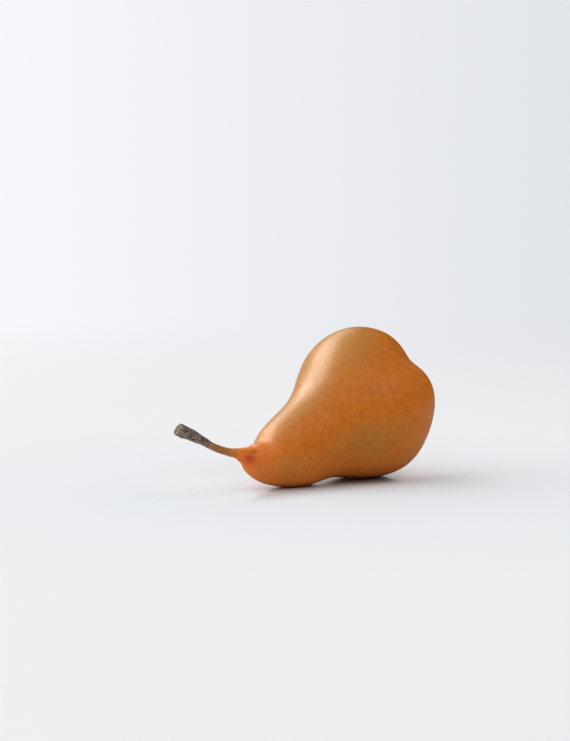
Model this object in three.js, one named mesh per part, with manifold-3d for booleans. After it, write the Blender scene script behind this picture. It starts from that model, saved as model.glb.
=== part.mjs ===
// A ripe pear lying on its side, as picked: bulbous body, long tapering neck that
// flares into the base of a woody stem, and a dried calyx in the blossom basin.
// Millimetres, +Z up.  The fruit lies on two small flat spots in the plane Z = 0,
// one under the belly and one under the neck.  +X points to the blossom end, the
// stem to -X.  The origin is the middle of the bounding box's bottom face.
import * as THREE from 'three';
import { mergeVertices } from 'three/addons/utils/BufferGeometryUtils.js';
import Module from 'manifold-3d';

const wasm = await Module();
wasm.setup();

// ---------------------------------------------------------------- dimensions
// Meridian of the fruit: [distance along the axis from the belly towards the
// blossom end, radius].  Station numbers 0, 1, 2 ... are the spline parameter.
const MERIDIAN = [
  [24.6, 0],        // floor of the blossom basin, on the axis
  [25, 3.3],
  [27, 7],
  [29.8, 10.82],
  [31.39, 15.73],   // crown of the shoulder round the basin
  [30.04, 21.88],
  [24.45, 28.27],
  [13.46, 34.11],
  [0.06, 34.88],    // belly
  [-12.75, 30.01],
  [-21.87, 24.74],  // waist
  [-31.83, 20.32],
  [-42.3, 18.1],    // neck, resting on the surface
  [-52.09, 15.39],
  [-60.05, 11.7],
  [-66, 8.54],      // rounded end of the neck
  [-69.5, 7.07],
  [-71.5, 5.64],
  [-73.5, 4.33],    // fleshy collar that flares into the stem
  [-76.5, 3.29],
  [-80, 2.29],
  [-84, 1.82],
];
const LIP_STATION = 20.13;       // station where the collar ends round the stem
// Spine of the fruit: [distance from the belly towards the stem, pitch down, sway], degrees.
const SPINE = [
  [-36, 16.56, -2.58], [-14, 19.8, -1.03], [4, 23.1, -1.72], [20, 21.3, 0.92], [36, 20.27, 0.71],
  [50, 13.71, 1.47], [60, 5.84, 1.06], [67, -15.26, 0.24], [73, -19.69, -0.12], [82, -10.77, -0.03],
];
const BELLY_HEIGHT = 32.98;      // spine above the resting plane at the belly
// Swells round the girth: [lobes, share of the radius, phase (rad), station, spread]
const SWELLS = [
  [5, -0.0368, 0.6333, 3.5, 2.6],
  [3, 0.0287, -2.4718, 6, 3.5],
  [2, 0.0443, 1.4654, 8, 5],
];
// Furrow that runs up the shoulder: depth (share), angle (rad), half width (rad), station, spread
const FURROW = [0.1848, 0.8823, 0.3138, 5.5608, 2.1157];

const BODY_AROUND = 48;          // facets round the fruit
const SOCKET_RADIUS = 1.45;      // hole in the collar that the stem grows out of
const SOCKET_DEPTH = 5.2;
const GAP = 0.3;                 // clearance between neighbouring pieces

// Stem: centre line (same axes as the fruit before it is set on its origin) and radius.
const STEM_LINE = [
  [-79.57, 0.68, 19.44, 1.88], [-82.38, 0.86, 20.21, 1.72], [-85.09, 1.14, 21.09, 1.68],
  [-87.70, 1.51, 22.13, 1.63], [-90.21, 1.99, 23.37, 1.62], [-92.60, 2.60, 24.83, 1.76],
  [-94.90, 3.31, 26.24, 1.98], [-97.13, 4.08, 27.45, 2.27], [-99.30, 4.92, 28.56, 2.47],
  [-101.37, 5.87, 29.67, 2.62], [-104.35, 7.35, 31.25, 2.74],
];
const STEM_DROP = -0.6;          // the fruit settles by the depth of its flat spots
const STEM_AROUND = 16;
const TENON_RADIUS = SOCKET_RADIUS - GAP;
const CUT_SLANT = 0.16;          // slope of the cut end
const CUT_TURN = 3.9;            // direction that the cut end faces (rad)

// Calyx: five dried sepals round a tuft of withered stamens
const SEPAL_TURNS = [0.22, 1.52, 2.70, 4.02, 5.29];   // rad round the blossom axis
const SEPAL_REACH = [7.0, 6.3, 7.3, 6.6, 6.9];        // radius of the tip
const SEPAL_RISE = [2.3, 1.6, 1.9, 2.6, 1.5];         // height of the arch over the floor
const SEPAL_WIDTH = 3.1;
const SEPAL_THICK = 0.55;
const SEPAL_FOOT = 2.35;         // radius where a sepal starts
const TUFT_RADIUS = 1.6;
const TUFT_HEIGHT = 2.9;

// ---------------------------------------------------------------- splines
// Natural cubic spline through the points (xs, ys).
function spline(xs, ys) {
  const n = xs.length;
  const m = new Array(n).fill(0), c = new Array(n).fill(0), d = new Array(n).fill(0);
  for (let i = 1; i < n - 1; i++) {
    const h0 = xs[i] - xs[i - 1], h1 = xs[i + 1] - xs[i];
    const p = 2 * (h0 + h1) - h0 * c[i - 1];
    c[i] = h1 / p;
    d[i] = (6 * ((ys[i + 1] - ys[i]) / h1 - (ys[i] - ys[i - 1]) / h0) - h0 * d[i - 1]) / p;
  }
  for (let i = n - 2; i > 0; i--) m[i] = d[i] - c[i] * m[i + 1];
  return (x) => {
    let i = 0;
    while (i < n - 2 && x > xs[i + 1]) i++;
    const h = xs[i + 1] - xs[i], a = (xs[i + 1] - x) / h, b = (x - xs[i]) / h;
    return a * ys[i] + b * ys[i + 1] + ((a * a * a - a) * m[i] + (b * b * b - b) * m[i + 1]) * h * h / 6;
  };
}
const stations = MERIDIAN.map((_, i) => i);
const axial = spline(stations, MERIDIAN.map((p) => p[0]));
const radial = spline(stations, MERIDIAN.map((p) => p[1]));
const pitch = spline(SPINE.map((p) => p[0]), SPINE.map((p) => THREE.MathUtils.degToRad(p[1])));
const sway = spline(SPINE.map((p) => p[0]), SPINE.map((p) => THREE.MathUtils.degToRad(p[2])));

// Spine point and frame at distance s from the belly, towards the stem.
const direction = (s) => {
  const q = Math.min(82, Math.max(-36, s)), a = pitch(q), b = sway(q);
  return new THREE.Vector3(-Math.cos(a) * Math.cos(b), Math.sin(b), -Math.sin(a) * Math.cos(b));
};
function spineFrame(s) {
  const steps = Math.max(4, Math.ceil(Math.abs(s) / 0.5));
  const p = new THREE.Vector3(0, 0, BELLY_HEIGHT);
  for (let i = 0; i < steps; i++) p.addScaledVector(direction(s * (i + 0.5) / steps), s / steps);
  const t = direction(s);
  const side = new THREE.Vector3().crossVectors(new THREE.Vector3(0, 0, 1), t).normalize();   // towards -Y
  const up = new THREE.Vector3().crossVectors(t, side).normalize();
  return { p, t, side, up };
}

// Share of the radius at a station and an angle: the swells and the furrow.
function swell(u, a) {
  let k = 1;
  for (const [lobes, share, phase, at, spread] of SWELLS) {
    k += share * Math.exp(-0.5 * ((u - at) / spread) ** 2) * Math.cos(lobes * (a - phase));
  }
  const [depth, angle, width, at, spread] = FURROW;
  let da = (a - angle) % (2 * Math.PI);
  if (da > Math.PI) da -= 2 * Math.PI;
  if (da < -Math.PI) da += 2 * Math.PI;
  return k - depth * Math.exp(-0.5 * ((u - at) / spread) ** 2) * Math.exp(-0.5 * (da / width) ** 2);
}

// ---------------------------------------------------------------- meshes
// Closed skin over a row of rings, with a pole at each end.
function loft(first, rings, last) {
  const n = rings[0].length, pos = [], index = [];
  pos.push(first.x, first.y, first.z);
  for (const ring of rings) for (const v of ring) pos.push(v.x, v.y, v.z);
  pos.push(last.x, last.y, last.z);
  const at = (i, j) => 1 + i * n + ((j + n) % n), end = 1 + rings.length * n;
  for (let j = 0; j < n; j++) {
    index.push(0, at(0, j + 1), at(0, j));
    for (let i = 0; i < rings.length - 1; i++) {
      index.push(at(i, j), at(i, j + 1), at(i + 1, j + 1));
      index.push(at(i, j), at(i + 1, j + 1), at(i + 1, j));
    }
    index.push(at(rings.length - 1, j), at(rings.length - 1, j + 1), end);
  }
  const g = new THREE.BufferGeometry();
  g.setAttribute('position', new THREE.Float32BufferAttribute(pos, 3));
  g.setIndex(index);
  return outward(g);
}
// Turns the faces outward if the volume comes out negative.
function outward(g) {
  const p = g.attributes.position, ix = g.index.array;
  const a = new THREE.Vector3(), b = new THREE.Vector3(), c = new THREE.Vector3();
  let volume = 0;
  for (let i = 0; i < ix.length; i += 3) {
    a.fromBufferAttribute(p, ix[i]); b.fromBufferAttribute(p, ix[i + 1]); c.fromBufferAttribute(p, ix[i + 2]);
    volume += a.dot(b.cross(c)) / 6;
  }
  if (volume < 0) for (let i = 0; i < ix.length; i += 3) [ix[i], ix[i + 1]] = [ix[i + 1], ix[i]];
  return g;
}
function solid(geometry) {
  let g = geometry.clone();
  g.deleteAttribute('normal');
  g.deleteAttribute('uv');
  g = mergeVertices(g, 1e-5);
  return new wasm.Manifold(new wasm.Mesh({
    numProp: 3,
    vertProperties: new Float32Array(g.attributes.position.array),
    triVerts: new Uint32Array(g.index.array),
  }));
}
function fromSolid(m) {
  const mesh = m.getMesh(), g = new THREE.BufferGeometry();
  const pos = new Float32Array(mesh.numVert * 3);
  for (let i = 0; i < mesh.numVert; i++) {
    for (let k = 0; k < 3; k++) pos[3 * i + k] = mesh.vertProperties[i * mesh.numProp + k];
  }
  g.setAttribute('position', new THREE.BufferAttribute(pos, 3));
  g.setIndex(new THREE.BufferAttribute(new Uint32Array(mesh.triVerts), 1));
  return g;
}

// Fruit: rings along the meridian from the basin to the lip, then down into the socket.
function fruitBody() {
  const stops = [];
  for (let u = 0.35; u < 4; u += 0.45) stops.push(u);
  for (let u = 4; u < 14; u += 0.36) stops.push(u);
  for (let u = 14; u < LIP_STATION - 0.2; u += 0.42) stops.push(u);
  const ringAt = (frame, radius, u) => {
    const ring = [];
    for (let j = 0; j < BODY_AROUND; j++) {
      const a = 2 * Math.PI * j / BODY_AROUND, r = radius * (u === null ? 1 : swell(u, a));
      ring.push(frame.p.clone().addScaledVector(frame.side, r * Math.cos(a)).addScaledVector(frame.up, r * Math.sin(a)));
    }
    return ring;
  };
  const rings = stops.map((u) => ringAt(spineFrame(-axial(u)), radial(u), u));
  const lip = -axial(LIP_STATION), rim = radial(LIP_STATION);
  rings.push(ringAt(spineFrame(lip - 0.25), rim + 0.02, null));
  rings.push(ringAt(spineFrame(lip), rim - 0.16, null));
  rings.push(ringAt(spineFrame(lip), SOCKET_RADIUS, null));
  rings.push(ringAt(spineFrame(lip - SOCKET_DEPTH / 2), SOCKET_RADIUS, null));
  rings.push(ringAt(spineFrame(lip - SOCKET_DEPTH), SOCKET_RADIUS, null));
  const whole = solid(loft(spineFrame(-axial(0)).p, rings, spineFrame(lip - SOCKET_DEPTH).p));
  // the two flat spots, where the fruit lies on the surface
  const under = new THREE.BoxGeometry(400, 400, 20);
  under.translate(0, 0, -10);
  return fromSolid(whole.subtract(solid(under)));
}

// Stem: a tenon in the collar's socket, then the shoulder, the slim middle and the
// thicker end with its slanting cut.  Its section is slightly ridged like bark.
function stemPiece() {
  const lip = -axial(LIP_STATION);
  const line = STEM_LINE.map(([x, y, z, r]) => ({ p: new THREE.Vector3(x, y, z + STEM_DROP), r }));
  const root = spineFrame(lip + GAP);
  const dist = [0];
  const pts = [root.p, ...line.map((l) => l.p)], rad = [2.15, ...line.map((l) => l.r)];
  for (let i = 1; i < pts.length; i++) dist.push(dist[i - 1] + pts[i].distanceTo(pts[i - 1]));
  const sx = spline(dist, pts.map((p) => p.x)), sy = spline(dist, pts.map((p) => p.y)), sz = spline(dist, pts.map((p) => p.z));
  const sr = spline(dist, rad), length = dist[dist.length - 1];
  const point = (s) => new THREE.Vector3(sx(s), sy(s), sz(s));
  // frames carried along the line without twist
  let side = root.side.clone(), t = root.t.clone();
  const frameAt = (s) => {
    const next = point(Math.min(length, s + 0.05)).sub(point(Math.max(0, s - 0.05))).normalize();
    side.applyQuaternion(new THREE.Quaternion().setFromUnitVectors(t, next));
    t = next;
    return { p: point(s), t: next, side: side.clone(), up: new THREE.Vector3().crossVectors(next, side) };
  };
  const rings = [];
  const ring = (f, r, s, cut) => {
    const out = [];
    for (let j = 0; j < STEM_AROUND; j++) {
      const a = 2 * Math.PI * j / STEM_AROUND;
      const k = s === null ? 1 : 1 + 0.035 * Math.sin(3 * a + 0.5 + 0.12 * s) + 0.025 * Math.sin(5 * a + 1.7 - 0.09 * s);
      const v = f.p.clone().addScaledVector(f.side, r * k * Math.cos(a)).addScaledVector(f.up, r * k * Math.sin(a));
      if (cut) v.addScaledVector(f.t, cut * r * k * Math.cos(a - CUT_TURN));
      out.push(v);
    }
    return out;
  };
  const tenonFoot = spineFrame(lip - SOCKET_DEPTH + GAP), tenonMid = spineFrame(lip - SOCKET_DEPTH / 2);
  rings.push(ring(tenonFoot, TENON_RADIUS, null));
  rings.push(ring(tenonMid, TENON_RADIUS, null));
  rings.push(ring({ ...root }, TENON_RADIUS, null));
  rings.push(ring({ ...root }, sr(0) * 0.93, 0));
  const steps = 24;
  for (let i = 0; i <= steps; i++) {
    const s = 0.2 + (length - 0.2) * i / steps;
    // the slant of the cut grows over the last millimetres
    const w = Math.max(0, (s - length + 4.5) / 4.5);
    const f = frameAt(s);
    rings.push(ring(f, sr(s), s, CUT_SLANT * w * w));
  }
  const f = frameAt(length);
  rings.push(ring(f, sr(length) * 0.86, length, CUT_SLANT).map((v) => v.addScaledVector(f.t, 0.22)));
  return loft(tenonFoot.p, rings, f.p.clone().addScaledVector(f.t, -0.25));
}

// Height of the basin floor along the blossom axis at a radius from it.
function basinFloor(rho) {
  let lo = 0, hi = 4;
  for (let i = 0; i < 40; i++) {
    const mid = (lo + hi) / 2;
    if (radial(mid) < rho) lo = mid; else hi = mid;
  }
  return axial((lo + hi) / 2) - axial(0);
}
// Blossom frame: axis out of the basin, side and up across it.
function blossomPoint(rho, angle, height) {
  const f = spineFrame(-axial(0));
  return f.p.clone().addScaledVector(f.t, -height)
    .addScaledVector(f.side, rho * Math.cos(angle)).addScaledVector(f.up, rho * Math.sin(angle));
}
// One dried sepal: a pointed, keeled blade that arches over the floor and curls at its tip.
function sepal(turn, reach, rise) {
  const rings = [], steps = 7;
  for (let i = 0; i <= steps; i++) {
    const k = i / steps, rho = SEPAL_FOOT + (reach - SEPAL_FOOT) * (1 - (1 - k) ** 1.25);
    const width = SEPAL_WIDTH * (0.62 + 0.55 * Math.sin(Math.PI * Math.min(1, k * 1.1)) ) * (1 - k ** 2.2) * 0.9 + 0.28;
    const low = basinFloor(rho + 0.5) + 0.42 + rise * Math.sin(Math.PI * Math.min(1, 0.15 + k * 0.62)) * (0.35 + 0.65 * k);
    const half = Math.min(width / 2, rho * Math.tan(0.55));
    const ring = [];
    for (const [w, h] of [[-1, 0.24], [-0.5, 0.02], [0, -0.06], [0.5, 0.02], [1, 0.24], [0.5, 1.0], [0, 0.92], [-0.5, 1.0]]) {
      const across = w * half, da = Math.atan2(across, rho);
      ring.push(blossomPoint(Math.hypot(rho, across), turn + da, low + 0.28 * Math.abs(w) * (1 - k) + h * SEPAL_THICK * (1 - 0.45 * k)));
    }
    rings.push(ring);
  }
  const mid = (r) => r.reduce((s, v) => s.add(v), new THREE.Vector3()).multiplyScalar(1 / r.length);
  return loft(mid(rings[0]), rings, mid(rings[rings.length - 1]));
}
// Withered stamens: a small ragged tuft on the basin floor.
function tuft() {
  const around = 20, rings = [];
  const rows = [[0.55, 0.0], [0.85, 0.12], [0.92, 0.45], [1.0, 0.8], [0.9, 1.0], [0.55, 0.9], [0.3, 0.78]];
  for (const [r, h] of rows) {
    const ring = [];
    for (let j = 0; j < around; j++) {
      const a = 2 * Math.PI * j / around;
      const rag = j % 2 ? 1 : 0.86, tip = h === 1.0 ? (j % 2 ? 0 : -0.5) - 0.25 * Math.sin(3 * a) : 0;
      ring.push(blossomPoint(TUFT_RADIUS * r * rag, a, GAP + 0.12 + TUFT_HEIGHT * h + tip));
    }
    rings.push(ring);
  }
  return loft(blossomPoint(0, 0, GAP + 0.12), rings, blossomPoint(0, 0, GAP + 0.12 + TUFT_HEIGHT * 0.72));
}

// ---------------------------------------------------------------- scene graph
const skin = new THREE.MeshStandardMaterial({ color: 0xb0621f, roughness: 0.42, metalness: 0 });
const bark = new THREE.MeshStandardMaterial({ color: 0x5d4a35, roughness: 0.85, metalness: 0 });
const dry = new THREE.MeshStandardMaterial({ color: 0x3a2a1c, roughness: 0.9, metalness: 0 });

const pear = new THREE.Group();
function add(name, geometry, material) {
  geometry.computeVertexNormals();
  const mesh = new THREE.Mesh(geometry, material);
  mesh.name = name;
  pear.add(mesh);
  return mesh;
}
add('fruit_body', fruitBody(), skin);
add('stem', stemPiece(), bark);
SEPAL_TURNS.forEach((turn, i) => add(`sepal_${i + 1}`, sepal(turn, SEPAL_REACH[i], SEPAL_RISE[i]), dry.clone()));
add('stamen_tuft', tuft(), dry.clone());

// Set the whole on its origin: the middle of the bounding box's bottom face.
pear.updateMatrixWorld(true);
const box = new THREE.Box3().setFromObject(pear, true);
const shift = new THREE.Vector3(-(box.min.x + box.max.x) / 2, -(box.min.y + box.max.y) / 2, -box.min.z);
for (const mesh of pear.children) mesh.geometry.translate(shift.x, shift.y, shift.z);

export default pear;
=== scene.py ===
"""A ripe pear lying on its side: skin, stem, dried calyx, floor, light and camera."""
import math

import bpy
import numpy as np
from mathutils import Matrix, Vector


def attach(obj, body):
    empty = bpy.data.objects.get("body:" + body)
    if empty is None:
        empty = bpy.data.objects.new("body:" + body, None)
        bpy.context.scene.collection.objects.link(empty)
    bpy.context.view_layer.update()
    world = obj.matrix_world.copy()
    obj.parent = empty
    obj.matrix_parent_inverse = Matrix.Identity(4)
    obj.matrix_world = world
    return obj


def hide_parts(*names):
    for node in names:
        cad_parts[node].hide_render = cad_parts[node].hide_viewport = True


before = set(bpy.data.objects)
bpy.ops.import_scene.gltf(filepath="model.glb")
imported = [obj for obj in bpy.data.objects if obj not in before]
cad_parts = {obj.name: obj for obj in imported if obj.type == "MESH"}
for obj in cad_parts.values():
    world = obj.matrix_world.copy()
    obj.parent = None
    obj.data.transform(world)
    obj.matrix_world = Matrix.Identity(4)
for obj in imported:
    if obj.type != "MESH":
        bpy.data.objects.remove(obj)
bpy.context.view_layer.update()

MM = 0.001

# ------------------------------------------------------------------ the fruit's form (millimetres)
# Meridian: distance along the axis from the belly towards the blossom end, and radius.
MERIDIAN = np.array([
    [24.6, 0], [25, 3.3], [27, 7], [29.8, 10.82], [31.39, 15.73], [30.04, 21.88], [24.45, 28.27],
    [13.46, 34.11], [0.06, 34.88], [-12.75, 30.01], [-21.87, 24.74], [-31.83, 20.32], [-42.3, 18.1],
    [-52.09, 15.39], [-60.05, 11.7], [-66, 8.54], [-69.5, 7.07], [-71.5, 5.64], [-73.5, 4.33],
    [-76.5, 3.29], [-80, 2.29], [-84, 1.82]])
LIP_STATION = 20.13
# Spine: distance from the belly towards the stem, pitch down and sway in degrees.
SPINE = np.array([
    [-36, 16.56, -2.58], [-14, 19.8, -1.03], [4, 23.1, -1.72], [20, 21.3, 0.92], [36, 20.27, 0.71],
    [50, 13.71, 1.47], [60, 5.84, 1.06], [67, -15.26, 0.24], [73, -19.69, -0.12], [82, -10.77, -0.03]])
BELLY_HEIGHT = 32.98
SWELLS = [(5, -0.0368, 0.6333, 3.5, 2.6), (3, 0.0287, -2.4718, 6, 3.5), (2, 0.0443, 1.4654, 8, 5)]
FURROW = (0.1848, 0.8823, 0.3138, 5.5608, 2.1157)
SOCKET_RADIUS, SOCKET_DEPTH, GAP = 1.45, 5.2, 0.3
STEM_LINE = np.array([
    [-79.57, 0.68, 19.44, 1.88], [-82.38, 0.86, 20.21, 1.72], [-85.09, 1.14, 21.09, 1.68],
    [-87.70, 1.51, 22.13, 1.63], [-90.21, 1.99, 23.37, 1.62], [-92.60, 2.60, 24.83, 1.76],
    [-94.90, 3.31, 26.24, 1.98], [-97.13, 4.08, 27.45, 2.27], [-99.30, 4.92, 28.56, 2.47],
    [-101.37, 5.87, 29.67, 2.62], [-104.35, 7.35, 31.25, 2.74]])
STEM_DROP = -0.6
CUT_SLANT, CUT_TURN = 0.16, 3.9
SEPAL_TURNS = (0.22, 1.52, 2.70, 4.02, 5.29)
SEPAL_REACH = (7.0, 6.3, 7.3, 6.6, 6.9)
SEPAL_RISE = (2.3, 1.6, 1.9, 2.6, 1.5)
SEPAL_WIDTH, SEPAL_THICK, SEPAL_FOOT = 3.1, 0.55, 2.35
# from the fruit's own axes to the frame's origin
SHIFT = np.array([35.4916, 0.3938, 0.0])


def spline(xs, ys):
    """Natural cubic spline through the points, evaluated on arrays."""
    xs, ys = np.asarray(xs, float), np.asarray(ys, float)
    n = len(xs)
    h = np.diff(xs)
    a = np.zeros((n, n))
    b = np.zeros(n)
    a[0, 0] = a[-1, -1] = 1
    for i in range(1, n - 1):
        a[i, i - 1], a[i, i], a[i, i + 1] = h[i - 1], 2 * (h[i - 1] + h[i]), h[i]
        b[i] = 6 * ((ys[i + 1] - ys[i]) / h[i] - (ys[i] - ys[i - 1]) / h[i - 1])
    m = np.linalg.solve(a, b)

    def at(x):
        x = np.asarray(x, float)
        i = np.clip(np.searchsorted(xs, x) - 1, 0, n - 2)
        w = xs[i + 1] - xs[i]
        p, q = (xs[i + 1] - x) / w, (x - xs[i]) / w
        return p * ys[i] + q * ys[i + 1] + ((p ** 3 - p) * m[i] + (q ** 3 - q) * m[i + 1]) * w * w / 6
    return at


stations = np.arange(len(MERIDIAN))
axial, radial = spline(stations, MERIDIAN[:, 0]), spline(stations, MERIDIAN[:, 1])
pitch, sway = spline(SPINE[:, 0], np.radians(SPINE[:, 1])), spline(SPINE[:, 0], np.radians(SPINE[:, 2]))


def unit(v):
    return v / np.linalg.norm(v, axis=-1, keepdims=True)


def direction(s):
    q = np.clip(s, -36, 82)
    a, b = pitch(q), sway(q)
    return np.stack([-np.cos(a) * np.cos(b), np.sin(b), -np.sin(a) * np.cos(b)], -1)


# the spine's points, summed from the belly both ways
_step = 0.05
_grid = np.arange(-40, 95 + _step / 2, _step)
_mid = direction((_grid[:-1] + _grid[1:]) / 2) * _step
_sum = np.vstack([np.zeros(3), np.cumsum(_mid, 0)])
_zero = int(round(40 / _step))
_line = _sum - _sum[_zero] + np.array([0, 0, BELLY_HEIGHT])


def spine_frame(s):
    s = np.asarray(s, float)
    p = np.stack([np.interp(s, _grid, _line[:, k]) for k in range(3)], -1)
    t = direction(s)
    side = unit(np.cross(np.broadcast_to([0.0, 0, 1], t.shape), t))
    return p, t, side, np.cross(t, side)


def swell(u, a):
    k = np.ones(np.broadcast(u, a).shape)
    for lobes, share, phase, at, spread in SWELLS:
        k = k + share * np.exp(-0.5 * ((u - at) / spread) ** 2) * np.cos(lobes * (a - phase))
    depth, angle, width, at, spread = FURROW
    da = (a - angle + np.pi) % (2 * np.pi) - np.pi
    return k - depth * np.exp(-0.5 * ((u - at) / spread) ** 2) * np.exp(-0.5 * (da / width) ** 2)


def smooth(x, lo, hi):
    t = np.clip((x - lo) / (hi - lo), 0, 1)
    return t * t * (3 - 2 * t)


def waves(p, length, count, seed):
    """Smooth value from -1 to 1 at points p: a sum of plane waves about `length` long."""
    rng = np.random.default_rng(seed)
    d = unit(rng.normal(size=(count, 3))) * (2 * np.pi / (length * rng.uniform(0.75, 1.45, (count, 1))))
    ph = rng.uniform(0, 2 * np.pi, count)
    out = np.zeros(p.shape[:-1])
    for k in range(count):
        out += np.sin(p @ d[k] + ph[k])
    return np.clip(out / math.sqrt(count) / 1.25, -1, 1)


# ------------------------------------------------------------------ mesh helpers
def make_mesh(name, verts, faces, attributes=(), smooth_shade=True):
    me = bpy.data.meshes.new(name)
    me.from_pydata((np.asarray(verts) * MM).tolist(), [], [tuple(int(i) for i in f) for f in faces])
    me.validate()
    for key, values in dict(attributes).items():
        values = np.asarray(values, np.float32)
        kind = "FLOAT" if values.ndim == 1 else "FLOAT_VECTOR"
        at = me.attributes.new(key, kind, "POINT")
        at.data.foreach_set("value" if values.ndim == 1 else "vector", values.ravel())
    if smooth_shade:
        me.polygons.foreach_set("use_smooth", np.ones(len(me.polygons), bool))
    me.update()
    ob = bpy.data.objects.new(name, me)
    bpy.context.scene.collection.objects.link(ob)
    return ob


def loft_faces(rings, around, first, last, base=1):
    """Faces of a closed skin over rings, with a pole before the first and after the last."""
    faces = []
    at = lambda i, j: base + i * around + j % around
    for j in range(around):
        faces.append((first, at(0, j + 1), at(0, j)))
        faces.append((at(rings - 1, j), at(rings - 1, j + 1), last))
    for i in range(rings - 1):
        for j in range(around):
            faces.append((at(i, j), at(i, j + 1), at(i + 1, j + 1), at(i + 1, j)))
    return faces


def volume(verts, faces):
    v = np.asarray(verts)
    total = 0.0
    for f in faces:
        for k in range(1, len(f) - 1):
            total += np.dot(v[f[0]], np.cross(v[f[k]], v[f[k + 1]])) / 6
    return total


def outward(verts, faces):
    return faces if volume(verts, faces) > 0 else [tuple(reversed(f)) for f in faces]


# ------------------------------------------------------------------ stem line and its frames
LIP = -float(axial(LIP_STATION))
RIM = float(radial(LIP_STATION))
_rp, _rt, _rs, _ru = (x[0] for x in spine_frame(np.array([LIP + GAP])))
_pts = np.vstack([_rp, STEM_LINE[:, :3] + [0, 0, STEM_DROP]])
_dist = np.concatenate([[0], np.cumsum(np.linalg.norm(np.diff(_pts, axis=0), axis=1))])
_sx = [spline(_dist, _pts[:, k]) for k in range(3)]
_sr = spline(_dist, np.concatenate([[2.08], STEM_LINE[:, 3]]))
STEM_LENGTH = float(_dist[-1])


def stem_frames(ss):
    """Twist-free frames at distances ss (rising) along the stem from its root."""
    point = lambda s: np.array([f(s) for f in _sx])
    side, t, out = _rs.copy(), _rt.copy(), []
    for s in ss:
        nxt = unit(point(min(STEM_LENGTH, s + 0.05)) - point(max(0, s - 0.05)))
        q = Vector(t).rotation_difference(Vector(nxt))
        side = np.array(q @ Vector(side))
        side = unit(side - nxt * side.dot(nxt))
        t = nxt
        out.append((point(min(max(s, 0), STEM_LENGTH)), t.copy(), side.copy(), np.cross(t, side)))
    return out


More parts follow.
